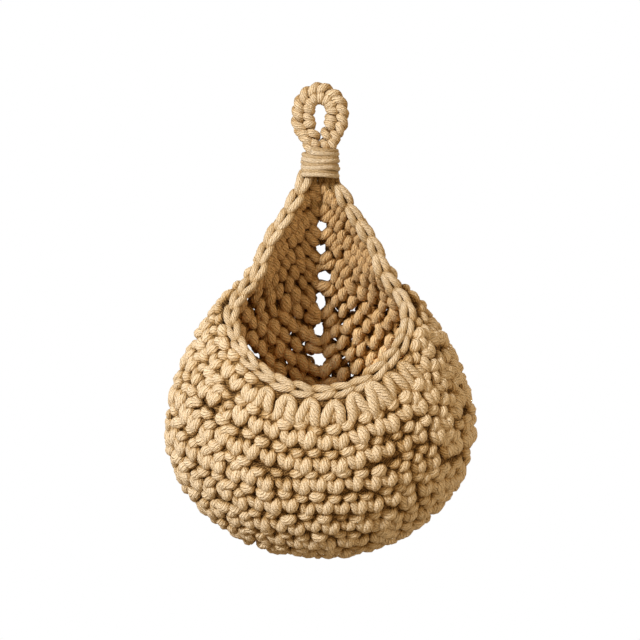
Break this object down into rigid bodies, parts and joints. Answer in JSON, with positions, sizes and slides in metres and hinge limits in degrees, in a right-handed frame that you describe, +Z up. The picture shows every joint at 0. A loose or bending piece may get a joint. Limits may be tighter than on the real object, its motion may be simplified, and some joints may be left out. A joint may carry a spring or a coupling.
{
  "type": "hanging fruit basket",
  "caption": "Teardrop hanging basket crocheted in thick cotton cord, with a wide front mouth, a bound neck and a crocheted hanging loop, for fruit and other small things.",
  "frame": {"origin": "the point on the crown of the loop's eye where a hook bears", "axes": "+Z up, the basket's mouth faces -Y, +X to the right as seen from the front"},
  "size_m": [0.1746, 0.115, 0.2695],
  "materials": {
    "cotton_cord": "matte soft-twisted cotton cord, undyed tan"
  },
  "bodies": {
    "loop": {"hanging_loop": "cotton_cord"},
    "basket": {"back_row_1": "cotton_cord", "back_row_2": "cotton_cord", "back_row_3": "cotton_cord", "back_row_4": "cotton_cord", "back_row_5": "cotton_cord", "back_row_6": "cotton_cord", "back_row_7": "cotton_cord", "back_row_8": "cotton_cord", "base_round_1": "cotton_cord", "base_round_2": "cotton_cord", "base_round_3": "cotton_cord", "base_round_4": "cotton_cord", "base_round_5": "cotton_cord", "base_round_6": "cotton_cord", "mouth_rim": "cotton_cord", "neck_binding": "cotton_cord", "neck_core": "cotton_cord", "wall_round_1": "cotton_cord", "wall_round_2": "cotton_cord", "wall_round_3": "cotton_cord"}
  },
  "joints": [
    {"name": "basket_swing", "type": "hinge", "parent": "loop", "child": "basket", "pos_m": [0, 0, -0.0194], "axis": [1, 0, 0], "range_deg": [-70, 70]}
  ]
}
